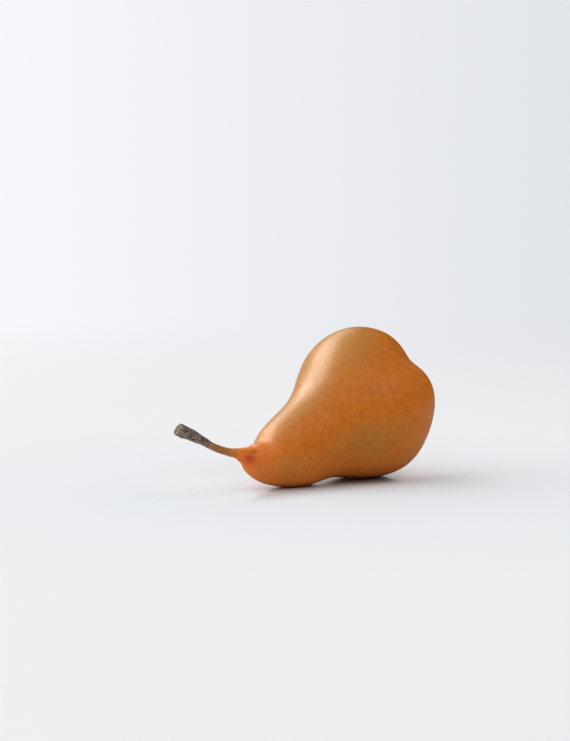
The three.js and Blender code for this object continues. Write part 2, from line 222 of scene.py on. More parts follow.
# ------------------------------------------------------------------ skin
def build_skin():
    around = 264
    a = 2 * np.pi * np.arange(around) / around
    us = np.concatenate([np.linspace(0.10, 3.9, 48), np.linspace(4, 14, 142)[0:], np.linspace(14.08, LIP_STATION, 100)])
    p, t, side, up = spine_frame(-axial(us))
    U, A = us[:, None], a[None, :]
    R = radial(us)[:, None] * swell(U, A)
    ring = side[:, None] * np.cos(A)[..., None] + up[:, None] * np.sin(A)[..., None]

    # the blossom basin: soft folds that run out over the shoulder
    fold = np.exp(-0.5 * ((U - 2.6) / 1.05) ** 2)
    turn = np.array(SEPAL_TURNS)
    mids = np.array([(turn[i] + (turn[(i + 1) % 5] + (2 * np.pi if i == 4 else 0))) / 2 for i in range(5)])
    crease = np.zeros_like(R)
    for k, m in enumerate(mids):
        d = (A - m - 0.05 * np.sin(3 * U + k) + np.pi) % (2 * np.pi) - np.pi
        crease = crease + (0.9 + 0.35 * math.sin(2.3 * k)) * np.exp(-0.5 * (d / (0.17 + 0.02 * U)) ** 2)
    along = t[:, None] * np.ones_like(A)[..., None]
    P = p[:, None] + ring * R[..., None]
    P = P + along * (0.55 * fold * crease)[..., None]            # creases sink into the fruit
    P = P - ring * (0.10 * fold * np.cos(11 * A + 2.1 * np.sin(A)))[..., None]

    # gentle unevenness of the flesh, inward only, fading out where the fruit rests
    n = ring
    free = smooth(P[..., 2], 0.4, 9.0) * smooth(np.broadcast_to(U, R.shape), 3.0, 5.0)
    neck = smooth(U, 15.0, 17.5)
    dent = 0.15 * (0.5 + 0.5 * waves(P, 24, 18, 7)) + 0.045 * (0.5 + 0.5 * waves(P, 9.5, 26, 8))
    P = P - n * (dent * free * (1 - 0.6 * neck))[..., None]

    # the fleshy fold on the upper side of the collar, the groove under it and the pit where it starts
    def bump(u0, su0, su1, a0, sa, h):
        du = np.where(U < u0, (U - u0) / su0, (U - u0) / su1)
        da = (A - a0 + np.pi) % (2 * np.pi) - np.pi
        return h * np.exp(-0.5 * du ** 2) * np.exp(-0.5 * (da / sa) ** 2)
    ridge = bump(18.35, 0.70, 1.30, 0.93, 0.27, 0.78)
    groove = bump(18.25, 0.8, 1.1, 0.36, 0.15, -0.40)
    pit = bump(17.42, 0.26, 0.42, 0.66, 0.22, -0.50)
    shoulder = bump(16.6, 0.5, 0.35, 0.8, 0.7, 0.18)
    back = bump(18.3, 0.6, 0.9, 2.6, 0.35, 0.34) + bump(17.5, 0.35, 0.4, 2.3, 0.4, -0.35)
    low = bump(18.9, 0.8, 0.9, 4.4, 0.5, 0.16) + bump(17.7, 0.4, 0.5, 4.9, 0.4, -0.22)
    P = P + n * (ridge + groove + pit + shoulder + back + low)[..., None]
    fine = 0.06 * smooth(U, 17.0, 18.6) * np.sin(9 * A + 1.3 * np.sin(2 * A) + 0.4 * U)
    P = P + n * fine[..., None]

    # the flesh thins out over the foot of the stem, further at some places than at others
    reach = 1.6 + 0.55 * np.sin(2 * a + 0.4) + 0.35 * np.sin(5 * a + 1.1)
    reach = reach + 1.5 * np.exp(-0.5 * (((a - 0.95 + np.pi) % (2 * np.pi) - np.pi) / 0.4) ** 2)
    last = P[-1]
    centre = p[-1]
    r_last = np.linalg.norm(last - centre, axis=1)
    extra = []
    steps = 12
    dense = np.linspace(0, 5.0, 101)
    frames = stem_frames(dense)
    fp = np.array([f[0] for f in frames]); fs = np.array([f[2] for f in frames]); fu = np.array([f[3] for f in frames])
    first_gap = GAP
    for k in range(1, steps + 1):
        w = k / steps
        d = np.clip(reach * w + 0.0 - first_gap * (1 - w), 0, 5)
        i = np.clip(np.interp(d, dense, np.arange(101)), 0, 100)
        lo = np.floor(i).astype(int); hi = np.minimum(lo + 1, 100); f = (i - lo)[:, None]
        c = fp[lo] * (1 - f) + fp[hi] * f
        sd = fs[lo] * (1 - f) + fs[hi] * f
        uu = fu[lo] * (1 - f) + fu[hi] * f
        rs = _sr(d)
        target = rs * 1.0 + 0.10 * (1 - w) ** 1.5 + 0.02
        blend = smooth(np.array([w]), 0, 0.75)[0]
        r = r_last * (1 - blend) + target * blend
        if k == steps:
            r = rs - 0.12
        q = c + sd * (r * np.cos(a))[:, None] + uu * (r * np.sin(a))[:, None]
        # the first steps leave the spine frame smoothly
        extra.append(q)
    down = []
    for s, r in ((LIP - 0.2, 1.5), (LIP - SOCKET_DEPTH / 2, SOCKET_RADIUS), (LIP - SOCKET_DEPTH, SOCKET_RADIUS)):
        pp, tt, ss, uu = (x[0] for x in spine_frame(np.array([s])))
        down.append(pp + ss * (r * np.cos(a))[:, None] + uu * (r * np.sin(a))[:, None])
    rows = np.concatenate([P, np.array(extra), np.array(down)])
    pole0 = spine_frame(-axial(np.array([0.0])))[0][0]
    pole1 = spine_frame(np.array([LIP - SOCKET_DEPTH]))[0][0]
    verts = np.vstack([pole0, rows.reshape(-1, 3), pole1]) + SHIFT
    # two flat spots in the plane of the floor
    z = verts[:, 2]
    soft = 0.10
    verts[:, 2] = np.where(z < soft, soft * np.exp(np.minimum(z - soft, 0) / soft) , z)
    verts[:, 2] = np.maximum(np.where(z < soft, verts[:, 2] - soft * math.exp(-1) * (1 - smooth(z, 0, soft)), z), 0)
    nr = len(rows)
    full_u = np.concatenate([us, LIP_STATION + np.linspace(0.1, 1.2, steps), [22, 23, 24]])
    station = np.concatenate([[0], np.repeat(full_u, around), [24]])
    angle = np.concatenate([[0], np.tile(a, nr), [0]])
    faces = loft_faces(nr, around, 0, 1 + nr * around)
    faces = outward(verts, faces)

    # a golden tint on the side that faces the key light, up and to the left: partly the skin's own colour, partly
    # painted light that makes that side look lit
    nrm = np.zeros((nr, around, 3))
    nrm[:len(us)] = ring
    nrm = np.vstack([[[0, 0, 0]], nrm.reshape(-1, 3), [[0, 0, 0]]])
    slope = np.gradient(radial(us), us) / np.maximum(np.abs(np.gradient(axial(us), us)), 0.3)
    lean = np.zeros(nr)
    lean[:len(us)] = np.clip(-slope, -2.5, 2.5)
    axis = np.zeros((nr, 3))
    axis[:len(us)] = t
    lean = np.concatenate([[0], np.repeat(lean, around), [0]])[:, None]
    axis = np.vstack([[[0, 0, 0]], np.repeat(axis, around, 0), [[0, 0, 0]]])
    nrm = nrm + axis * lean
    nrm = nrm / np.maximum(np.linalg.norm(nrm, axis=1, keepdims=True), 0.3)
    golden_and_painted_light = smooth(nrm @ np.array([-0.466, 0.322, 0.824]), 0.45, 0.98) * smooth(station, 3.0, 6.0)

    def near(x, y, z, r, stretch=(1, 1, 1)):
        d = (verts - np.array([x, y, z])) / (np.array(stretch) * r)
        return np.exp(-0.5 * (d ** 2).sum(1))
    da = lambda a0: (angle - a0 + np.pi) % (2 * np.pi) - np.pi
    collar = smooth(station, 12.0, 17.2)
    front_side = 0.72 + 0.28 * np.cos(da(-0.2))
    blush = 0.85 * near(-35.8, -2.9, 15.7, 1.9) + 0.35 * near(-33.8, -4.2, 15.2, 3.2)
    green = 0.85 * near(-22.7, -9.8, 10.9, 4.0, (1.3, 1, 1)) + 0.55 * near(22.6, -26.4, 19.9, 5.5, (1.3, 1, 1.2)) \
        + 0.35 * near(12, -24, 20, 6) + 0.5 * near(-8, 17, 18, 8) + 0.45 * near(30, 24, 40, 9)
    # the fold's yellow-orange, strongest on its upper side: partly the flesh's colour, partly a painted highlight on
    # its lit top
    lip_fold_and_painted_highlight = np.exp(-0.5 * ((station - 18.75) / 0.85) ** 2) * np.exp(-0.5 * (da(0.98) / 0.34) ** 2)
    lip_fold_and_painted_highlight = lip_fold_and_painted_highlight + 0.8 * smooth(station, 19.6, 20.4) * np.exp(-0.5 * (da(1.0) / 0.7) ** 2)
    # painted shade: a dark red-brown line in the crease under the fold's end
    pit_shade = np.exp(-0.5 * ((station - 17.75) / 0.50) ** 2) * np.exp(-0.5 * (da(0.64) / 0.11) ** 2)
    basin = 1 - smooth(station, 1.4, 4.2)
    stem_foot = smooth(station, 19.7, 21.2)
    ob = make_mesh("pear_skin", verts, faces, {
        "collar": collar * front_side, "blush": np.clip(blush, 0, 1), "green": np.clip(green, 0, 1),
        "golden_and_painted_light": golden_and_painted_light, "fold": np.clip(lip_fold_and_painted_highlight, 0, 1), "pit": pit_shade, "basin": basin, "foot": stem_foot})
    return ob


# ------------------------------------------------------------------ stem
def build_stem():
    around, steps = 112, 300
    a = 2 * np.pi * np.arange(around) / around
    ss = np.linspace(0.05, STEM_LENGTH, steps)
    frames = stem_frames(ss)
    rows, grain, along, cutat = [], [], [], []
    rng = np.random.default_rng(21)
    ph = rng.uniform(0, 2 * np.pi, 12)

    def add(c, sd, uu, r, s, cut=0.0, tt=None, k=1.0, lift=None):
        v = c + sd * (r * k * np.cos(a))[:, None] + uu * (r * k * np.sin(a))[:, None]
        if lift is not None:
            v = v + tt * lift[:, None]
        rows.append(v)
        g = np.stack([np.cos(a) * r, np.sin(a) * r, np.full(around, s)], 1)
        grain.append(g)
        along.append(np.full(around, s / STEM_LENGTH))
        cutat.append(np.full(around, cut))

    tp, tt0, ts, tu = (x[0] for x in spine_frame(np.array([LIP - SOCKET_DEPTH + GAP])))
    mp, mt, ms, mu = (x[0] for x in spine_frame(np.array([LIP - SOCKET_DEPTH / 2])))
    tenon = SOCKET_RADIUS - GAP
    add(tp, ts, tu, np.full(around, tenon), -5)
    add(mp, ms, mu, np.full(around, tenon), -3)
    add(_rp, _rs, _ru, np.full(around, tenon), -0.2)
    for s, (c, t, sd, uu) in zip(ss, frames):
        x = s / STEM_LENGTH
        rough = float(smooth(np.array([x]), 0.12, 0.6)[0])
        end = float(smooth(np.array([x]), 0.62, 0.95)[0])
        r = float(_sr(s)) * np.ones(around)
        k = 1 + 0.03 * np.sin(3 * a + 0.5 + 0.12 * s) + 0.022 * np.sin(5 * a + 1.7 - 0.09 * s)
        # fibres of the bark: fine ridges that wander round the stem
        wander = 0.35 * math.sin(0.31 * s + ph[0]) + 0.2 * math.sin(0.83 * s + ph[1])
        k = k + (0.010 + 0.030 * rough + 0.012 * end) * np.sin(9 * a + wander * 3 + ph[2]) * (0.7 + 0.3 * math.sin(0.9 * s + ph[3]))
        k = k + (0.006 + 0.022 * rough) * np.sin(17 * a - wander * 4 + ph[4] + 0.25 * np.sin(3 * a + 0.4 * s))
        k = k + 0.012 * rough * np.sin(29 * a + wander * 5 + ph[5] + 0.5 * np.sin(0.7 * s + 2 * a))
        # worn knots and a swelling before the cut
        for s0, w0, a0, wa, h in ((STEM_LENGTH - 6.6, 1.0, 1.5, 0.6, 0.10), (STEM_LENGTH - 3.4, 0.8, 4.2, 0.5, 0.12),
                                  (STEM_LENGTH - 10.5, 1.3, 4.9, 0.6, 0.10), (STEM_LENGTH - 14.6, 1.1, 0.9, 0.6, 0.08),
                                  (STEM_LENGTH - 0.9, 0.55, 5.2, 0.32, 0.20), (STEM_LENGTH - 1.5, 0.8, 2.0, 0.4, 0.08)):
            d = (a - a0 + np.pi) % (2 * np.pi) - np.pi
            k = k + h * np.exp(-0.5 * ((s - s0) / w0) ** 2) * np.exp(-0.5 * (d / wa) ** 2)
        w = max(0.0, (s - STEM_LENGTH + 4.5) / 4.5)
        lift = CUT_SLANT * w * w * r * np.cos(a - CUT_TURN) * 0.98
        rag = 0.10 * np.sin(7 * a + ph[6]) + 0.08 * np.sin(13 * a + ph[7]) + 0.05 * np.sin(23 * a + ph[8])
        lift = lift + rag * w ** 6 * 0.8
        if s < 0.9:                                   # the foot slips under the flesh of the collar
            r = r * (0.80 + 0.20 * float(smooth(np.array([s]), 0.0, 0.9)[0]))
        add(c, sd, uu, r, s, tt=t, k=k, lift=lift)
    # the cut: a pale worn rim, then a shallow dished face
    c, t, sd, uu = frames[-1]
    kk = k
    face = ((0.955, 0.16, 0.35), (0.90, 0.20, 0.8), (0.84, 0.10, 1.0), (0.76, -0.08, 1.0), (0.62, -0.16, 1.0),
            (0.46, -0.18, 1.0), (0.30, -0.24, 1.0), (0.14, -0.36, 1.0))
    rl = float(_sr(STEM_LENGTH))
    for f, h, cut in face:
        rag2 = rag * 0.8 * max(0.0, (f - 0.7) / 0.3)
        crack = 0.10 * np.sin(5 * a + 0.9) * f * (1 - f) * 3 + 0.06 * np.sin(11 * a + 2.2) * f * (1 - f) * 3
        lift = CUT_SLANT * rl * f * np.cos(a - CUT_TURN) * 0.98 + h + rag2 + crack
        add(c, sd, uu, np.full(around, rl * f), STEM_LENGTH, cut=cut, tt=t, k=1 + (kk - 1) * f, lift=lift)
    rows_ = np.array(rows)
    nr = len(rows_)
    end_pole = c + t * (-0.40)
    verts = np.vstack([tp, rows_.reshape(-1, 3), end_pole]) + SHIFT
    g = np.vstack([[0, 0, -5], np.array(grain).reshape(-1, 3), [0, 0, STEM_LENGTH]])
    al = np.concatenate([[0], np.array(along).ravel(), [1]])
    cu = np.concatenate([[0], np.array(cutat).ravel(), [1]])
    faces = outward(verts, loft_faces(nr, around, 0, 1 + nr * around))
    # how far a point faces down: the underside is paler, with fibres showing
    upv = np.concatenate([[0], (np.array([np.sin(a)] * nr)).ravel(), [0]])
    return make_mesh("pear_stem", verts, faces, {"grain": g * 1.0, "along": al, "cut": cu, "upper": upv})


# ------------------------------------------------------------------ calyx
_bp, _bt, _bs, _bu = (x[0] for x in spine_frame(-axial(np.array([0.0]))))
_fine_u = np.linspace(0, 4, 800)
_fine_r, _fine_h = radial(_fine_u), axial(_fine_u) - float(axial(0.0))


def basin_floor(rho):
    return np.interp(rho, _fine_r, _fine_h)


def blossom_point(rho, ang, h):
    rho, ang, h = np.broadcast_arrays(np.asarray(rho, float), ang, h)
    return _bp - _bt * h[..., None] + _bs * (rho * np.cos(ang))[..., None] + _bu * (rho * np.sin(ang))[..., None]


def build_sepal(i):
    turn, reach, rise = SEPAL_TURNS[i], SEPAL_REACH[i], SEPAL_RISE[i]
    rng = np.random.default_rng(40 + i)
    ph = rng.uniform(0, 2 * np.pi, 8)
    steps, half_n = 54, 13
    w = np.linspace(-1, 1, half_n)
    rows, att = [], []
    twist = rng.uniform(-0.35, 0.35)
    for m in range(steps + 1):
        k = m / steps
        rho = SEPAL_FOOT + (reach - SEPAL_FOOT) * (1 - (1 - k) ** 1.25)
        width = SEPAL_WIDTH * (0.62 + 0.55 * math.sin(math.pi * min(1, k * 1.1))) * (1 - k ** 2.2) * 0.9 + 0.16
        half = min(width / 2, rho * math.tan(0.55))
        low = float(basin_floor(rho + 0.4)) + 0.45 + rise * math.sin(math.pi * min(1, 0.15 + k * 0.62)) * (0.35 + 0.65 * k)
        edge = 1 + 0.09 * math.sin(17 * k + ph[0]) + 0.06 * math.sin(31 * k + ph[1])
        edge2 = 1 + 0.09 * math.sin(19 * k + ph[2]) + 0.06 * math.sin(29 * k + ph[3])
        across = np.where(w < 0, w * half * edge, w * half * edge2)
        da = np.arctan2(across, rho)
        curl = (0.55 * (1 - k) + 0.75 * math.sin(math.pi * k)) * np.abs(w) ** 1.7 * 0.8
        wrinkle = 0.09 * np.sin(6 * w + 5 * k + ph[4]) * (1 - abs(2 * k - 1)) + 0.05 * np.sin(14 * w + ph[5] + 9 * k)
        keel = -0.12 * np.exp(-(w / 0.14) ** 2)
        tilt = twist * across * k
        h_mid = low + 0.35 + curl + wrinkle + keel + tilt
        thick = SEPAL_THICK * (0.55 - 0.33 * k) * (1 - 0.72 * np.abs(w) ** 3) * 0.5 + 0.03
        top = blossom_point(np.hypot(rho, across), turn + da, h_mid + thick)
        bottom = blossom_point(np.hypot(rho, across), turn + da, h_mid - thick)
        rows.append(np.vstack([top, bottom[::-1]]))
        att.append(np.concatenate([np.abs(w), np.abs(w)[::-1]]))
    rows = np.array(rows)
    n = rows.shape[1]
    verts = np.vstack([rows[0].mean(0), rows.reshape(-1, 3), rows[-1].mean(0)]) + SHIFT
    faces = outward(verts, loft_faces(len(rows), n, 0, 1 + len(rows) * n))
    edge = np.concatenate([[0], np.array(att).ravel(), [0]])
    tip = np.concatenate([[0], np.repeat(np.linspace(0, 1, steps + 1), n), [1]])
    ob = make_mesh(f"sepal_blade_{i + 1}", verts, faces, {"edge": edge, "tip": tip})
    return ob


def tube(points, radii, around=7):
    pts = np.asarray(points)
    t = unit(np.gradient(pts, axis=0))
    ref = np.array([0.31, 0.87, 0.38])
    s = unit(np.cross(t, ref))
    u = np.cross(t, s)
    a = 2 * np.pi * np.arange(around) / around
    rows = pts[:, None] + (s[:, None] * np.cos(a)[None, :, None] + u[:, None] * np.sin(a)[None, :, None]) * np.asarray(radii)[:, None, None]
    verts = np.vstack([pts[0], rows.reshape(-1, 3), pts[-1]])
    faces = loft_faces(len(pts), around, 0, 1 + len(pts) * around)
    return verts, outward(verts, faces)


def build_stamens():
    rng = np.random.default_rng(77)
    verts, faces, tip = [], [], []
    base = 0

    def add(v, f, t):
        nonlocal base
        verts.append(v)
        faces.extend([tuple(i + base for i in x) for x in f])
        tip.append(t)
        base += len(v)

    # shrivelled cushion that the filaments stand on
    around, rad = 48, np.array([0.5, 1.05, 1.5, 1.85, 2.0, 1.9, 1.5, 0.9, 0.4])
    hh = np.array([0.30, 0.30, 0.30, 0.34, 0.55, 0.85, 1.05, 0.95, 0.78])
    a = 2 * np.pi * np.arange(around) / around
    rows = []
    for r, h in zip(rad, hh):
        rr = r * (1 + 0.06 * np.sin(7 * a + 0.5) + 0.05 * np.sin(11 * a + 1.9))
        rows.append(blossom_point(rr, a, h + 0.08 * np.sin(5 * a + 1.1) * (h > 0.5)))
    rows = np.array(rows)
    v = np.vstack([blossom_point(0.0, 0.0, 0.30)[None], rows.reshape(-1, 3), blossom_point(0.0, 0.0, 0.72)[None]])
    f = outward(v, loft_faces(len(rows), around, 0, 1 + len(rows) * around))
    add(v, f, np.zeros(len(v)))
    for k in range(26):
        ang = 2 * np.pi * (k * 0.381966 + 0.02 * rng.normal())
        r0 = 0.35 + 1.25 * math.sqrt((k + 0.5) / 26)
        lean = rng.uniform(0.1, 0.75) * (1 if rng.random() < 0.8 else -0.8)
        length = rng.uniform(1.7, 2.75) * (1.0 if r0 < 1.3 else 0.85)
        side = rng.uniform(-0.6, 0.6)
        m = np.linspace(0, 1, 11)
        rho = r0 + lean * length * 0.45 * m ** 1.6
        angs = ang + side * 0.4 * m ** 2 / max(rho.mean(), 0.6)
        h = 0.7 + length * (m - 0.16 * abs(lean) * m ** 2.4)
        pts = blossom_point(rho, angs, h) + rng.normal(size=(1, 3)) * 0.02
        rad_ = 0.105 - 0.045 * m
        rad_[-3:] = (0.12, 0.15, 0.06)
        v, f = tube(pts, rad_)
        add(v, f, np.concatenate([[0], np.repeat(m, 7), [1]]))
    return make_mesh("dried_stamens", np.vstack(verts) + SHIFT, faces, {"tip": np.concatenate(tip)})


# ------------------------------------------------------------------ materials
class Tree:
    """Small helper that adds shader nodes and links them."""

    def __init__(self, name):
        self.mat = bpy.data.materials.new(name)
        self.mat.use_nodes = True
        self.nodes, self.links = self.mat.node_tree.nodes, self.mat.node_tree.links
        self.nodes.clear()
        self.out = self.nodes.new("ShaderNodeOutputMaterial")

    def node(self, kind, inputs=None, **settings):
        n = self.nodes.new(kind)
        for k, v in settings.items():
            setattr(n, k, v)
        for k, v in (inputs or {}).items():
            self.put(n.inputs[k], v)
        return n

    def put(self, socket, v):
        if isinstance(v, bpy.types.NodeSocket):
            self.links.new(v, socket)
        else:
            socket.default_value = v

    def math(self, op, a, b=0.0, c=None, clamp=False):
        n = self.node("ShaderNodeMath", operation=op, use_clamp=clamp)
        self.put(n.inputs[0], a)
        self.put(n.inputs[1], b)
        if c is not None:
            self.put(n.inputs[2], c)
        return n.outputs[0]

    def remap(self, v, lo, hi, to_lo=0.0, to_hi=1.0):
        n = self.node("ShaderNodeMapRange", interpolation_type="SMOOTHSTEP")
        for k, x in zip(("Value", "From Min", "From Max", "To Min", "To Max"), (v, lo, hi, to_lo, to_hi)):
            self.put(n.inputs[k], x)
        return n.outputs[0]

    def mix(self, f, a, b, blend="MIX"):
        n = self.node("ShaderNodeMix", data_type="RGBA", blend_type=blend)
        self.put(n.inputs[0], f)
        self.put(n.inputs[6], a if isinstance(a, bpy.types.NodeSocket) else (*a, 1))
        self.put(n.inputs[7], b if isinstance(b, bpy.types.NodeSocket) else (*b, 1))
        return n.outputs[2]

    def attr(self, name, out="Fac"):
        return self.node("ShaderNodeAttribute", attribute_name=name, attribute_type="GEOMETRY").outputs[out]

    def noise(self, vec, scale, detail=2.0, rough=0.5, distort=0.0, out="Fac"):
        return self.node("ShaderNodeTexNoise", {"Vector": vec, "Scale": scale, "Detail": detail, "Roughness": rough, "Distortion": distort}).outputs[out]

    def coords(self):
        return self.node("ShaderNodeTexCoord").outputs["Object"]

    def shader(self, **sockets):
        n = self.node("ShaderNodeBsdfPrincipled")
        for k, v in sockets.items():
            self.put(n.inputs[k.replace("_", " ")], v)
        self.links.new(n.outputs[0], self.out.inputs["Surface"])
        return n


def skin_material():
    t = Tree("pear_skin")
    co = t.coords()
    broad = t.noise(co, 32, 2.0, 0.5, 0.4)
    patch = t.noise(co, 95, 3.0, 0.55, 0.6)
    mottle = t.noise(co, 330, 4.0, 0.62, 0.3)
    grain = t.noise(co, 1150, 2.0, 0.6)
    col = t.mix(t.remap(broad, 0.30, 0.72), (0.605, 0.146, 0.0060), (0.660, 0.177, 0.0100))
    col = t.mix(t.math("MULTIPLY", t.remap(patch, 0.50, 0.74), 0.50), col, (0.530, 0.165, 0.0100))
    col = t.mix(t.math("MULTIPLY", t.remap(patch, 0.46, 0.26), 0.55), col, (0.660, 0.150, 0.0075))
    col = t.mix(t.math("MULTIPLY", t.remap(mottle, 0.40, 0.64), 0.34), col, (0.76, 0.238, 0.0180))
    col = t.mix(t.math("MULTIPLY", t.remap(mottle, 0.46, 0.30), 0.20), col, (0.43, 0.096, 0.0060))
    # golden tint: partly skin colour, partly painted light on the side facing the key light
    golden_and_painted_light = t.attr("golden_and_painted_light")
    col = t.mix(t.math("MULTIPLY", golden_and_painted_light, 0.74), col, (0.455, 0.234, 0.035))
    # zones of colour: collar, fold, blush, greenish patches, basin; the fold is partly a painted highlight, and the pit
    # mark is painted shade
    soft = t.remap(mottle, 0.3, 0.7, 0.75, 1.15)
    col = t.mix(t.math("MULTIPLY", t.math("MULTIPLY", t.attr("green"), 0.8, clamp=True), soft, clamp=True), col, (0.400, 0.190, 0.022))
    col = t.mix(t.math("MULTIPLY", t.attr("collar"), 0.92), col, (0.880, 0.220, 0.026))
    col = t.mix(t.math("MULTIPLY", t.attr("blush"), 0.92), col, (0.640, 0.070, 0.008))
    # fold: yellow-orange flesh, partly a painted highlight on its top
    col = t.mix(t.math("MULTIPLY", t.attr("fold"), 0.90), col, (0.880, 0.320, 0.034))
    # pit: painted shade in the crease under the fold
    col = t.mix(t.math("MULTIPLY", t.attr("pit"), 0.60), col, (0.300, 0.050, 0.010))
    col = t.mix(t.math("MULTIPLY", t.attr("foot"), 0.8), col, (0.640, 0.190, 0.040))
    basin = t.attr("basin")
    russet = t.math("MULTIPLY", basin, t.remap(t.noise(co, 420, 3.0, 0.6), 0.3, 0.7, 0.45, 1.0))
    col = t.mix(russet, col, (0.300, 0.122, 0.026))
    col = t.mix(t.remap(basin, 0.88, 1.0), col, (0.130, 0.056, 0.019))
    # fine grain
    col = t.mix(t.math("MULTIPLY", t.remap(grain, 0.35, 0.65), 0.16), col, (0.34, 0.090, 0.0080))
    # lenticels: small dark corky dots, closer together in some places
    jitter = t.node("ShaderNodeVectorMath", {0: co, 1: (0, 0, 0)}, operation="ADD")
    cell = t.node("ShaderNodeTexVoronoi", {"Vector": jitter.outputs[0], "Scale": 880.0, "Randomness": 1.0}, feature="F1")
    size = t.node("ShaderNodeSeparateColor", {0: cell.outputs["Color"]})
    rad = t.remap(size.outputs[0], 0.05, 1.0, 0.07, 0.27)
    dist = cell.outputs["Distance"]
    dot = t.remap(t.math("SUBTRACT", rad, dist), -0.03, 0.07)
    dense = t.remap(t.noise(co, 60, 2.0), 0.32, 0.60, 0.45, 1.0)
    dot = t.math("MULTIPLY", dot, dense)
    dot = t.math("MULTIPLY", dot, t.math("SUBTRACT", 1.0, t.math("MULTIPLY", t.attr("foot"), 0.8)))
    # painted shade: the dots are drawn darker on the side facing the key light, where they break the highlight
    col = t.mix(t.math("MULTIPLY", dot, t.math("ADD", 0.24, t.math("MULTIPLY", golden_and_painted_light, 0.56))), col, (0.130, 0.046, 0.011))
    rough = t.remap(t.noise(co, 140, 2.0), 0.3, 0.7, 0.355, 0.425)
    rough = t.math("ADD", rough, t.math("MULTIPLY", t.remap(grain, 0.4, 0.7), 0.05))
    rough = t.math("ADD", rough, t.math("MULTIPLY", dot, 0.45))
    rough = t.math("ADD", rough, t.math("MULTIPLY", russet, 0.25))
    rough = t.math("ADD", rough, t.math("MULTIPLY", t.attr("foot"), 0.15), clamp=True)
    height = t.math("MULTIPLY", grain, 0.42)
    height = t.math("ADD", height, t.math("MULTIPLY", t.noise(co, 480, 2.0, 0.5), 0.50))
    height = t.math("SUBTRACT", height, t.math("MULTIPLY", dot, 0.75))
    bump = t.node("ShaderNodeBump", {"Strength": 0.55, "Distance": 0.00010, "Height": height})
    t.shader(Base_Color=col, Roughness=rough, Normal=bump.outputs[0], Specular_IOR_Level=0.32, IOR=1.45)
    return t.mat


def stem_material():
    t = Tree("stem_bark")
    g = t.attr("grain", "Vector")
    stretched = t.node("ShaderNodeVectorMath", {0: g, 1: (1.0, 1.0, 0.16)}, operation="MULTIPLY").outputs[0]
    streak = t.noise(stretched, 1.5, 4.0, 0.62, 0.35)
    fibre = t.noise(stretched, 5.2, 3.0, 0.6, 0.2)
    blotch = t.noise(g, 0.42, 3.0, 0.55, 0.4)
    speck = t.noise(g, 3.2, 3.0, 0.6)
    along = t.math("ADD", t.attr("along"), t.math("MULTIPLY", t.math("SUBTRACT", blotch, 0.5), 0.28))
    upper = t.attr("upper")
    flesh = (0.680, 0.205, 0.034)
    olive = t.mix(t.remap(upper, -0.4, 0.7), (0.440, 0.165, 0.055), (0.330, 0.150, 0.018))
    bark = t.mix(t.remap(streak, 0.38, 0.62), (0.056, 0.037, 0.027), (0.262, 0.190, 0.142))
    col = t.mix(t.remap(along, 0.02, 0.26), flesh, olive)
    col = t.mix(t.math("MULTIPLY", t.remap(streak, 0.45, 0.66), 0.35), col, (0.130, 0.085, 0.045))
    col = t.mix(t.remap(along, 0.36, 0.60), col, bark)
    # pale torn fibres, most on the underside
    pale = t.math("MULTIPLY", t.remap(fibre, 0.50, 0.64), t.remap(upper, 0.75, -0.35, 0.14, 0.95))
    pale = t.math("MULTIPLY", pale, t.remap(along, 0.30, 0.55, 0.06, 1.0))
    col = t.mix(pale, col, (0.540, 0.450, 0.350))
    dark = t.math("MULTIPLY", t.remap(fibre, 0.44, 0.32), t.remap(along, 0.25, 0.6, 0.15, 0.8))
    col = t.mix(dark, col, (0.030, 0.022, 0.017))
    # the cut: pale rim, dull pith
    cut = t.attr("cut")
    face = t.mix(t.remap(speck, 0.38, 0.62), (0.110, 0.092, 0.055), (0.270, 0.235, 0.155))
    col = t.mix(t.remap(cut, 0.05, 0.35), col, (0.640, 0.580, 0.420))
    col = t.mix(t.remap(cut, 0.45, 0.85), col, face)
    rough = t.remap(along, 0.05, 0.5, 0.50, 0.86)
    height = t.math("ADD", t.math("MULTIPLY", streak, 0.8), t.math("MULTIPLY", fibre, 0.6))
    height = t.math("MULTIPLY", height, t.remap(along, 0.05, 0.55, 0.25, 1.0))
    bump = t.node("ShaderNodeBump", {"Strength": 0.8, "Distance": 0.00028, "Height": height})
    t.shader(Base_Color=col, Roughness=rough, Normal=bump.outputs[0], Specular_IOR_Level=0.25)
    return t.mat


def calyx_material(name, dark, pale):
    t = Tree(name)
    co = t.coords()
    n1, n2 = t.noise(co, 900, 4.0, 0.65, 0.4), t.noise(co, 2600, 3.0, 0.6)
    col = t.mix(t.remap(n1, 0.32, 0.68), dark, tuple(x * 2.3 for x in dark))
    tip = t.attr("tip")
    col = t.mix(t.math("MULTIPLY", t.remap(n2, 0.5, 0.75), 0.5), col, pale)
    col = t.mix(t.math("MULTIPLY", t.remap(tip, 0.55, 1.0), 0.35), col, pale)
    height = t.math("ADD", n1, t.math("MULTIPLY", n2, 0.5))
    bump = t.node("ShaderNodeBump", {"Strength": 0.8, "Distance": 0.00015, "Height": height})
    t.shader(Base_Color=col, Roughness=t.remap(n1, 0.3, 0.7, 0.78, 0.93), Normal=bump.outputs[0], Specular_IOR_Level=0.3)
    return t.mat


skin = build_skin()
skin.data.materials.append(skin_material())
stem = build_stem()
stem.data.materials.append(stem_material())
sepal_mat = calyx_material("dried_sepal", (0.058, 0.033, 0.018), (0.320, 0.200, 0.105))
sepals = [build_sepal(i) for i in range(5)]
for s in sepals:
    s.data.materials.append(sepal_mat)
stamens = build_stamens()
stamens.data.materials.append(calyx_material("withered_stamens", (0.040, 0.024, 0.014), (0.240, 0.160, 0.090)))

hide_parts("fruit_body"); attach(skin, "root")
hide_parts("stem"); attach(stem, "root")
for i, s in enumerate(sepals):
    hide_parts(f"sepal_{i + 1}"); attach(s, "root")
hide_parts("stamen_tuft"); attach(stamens, "root")

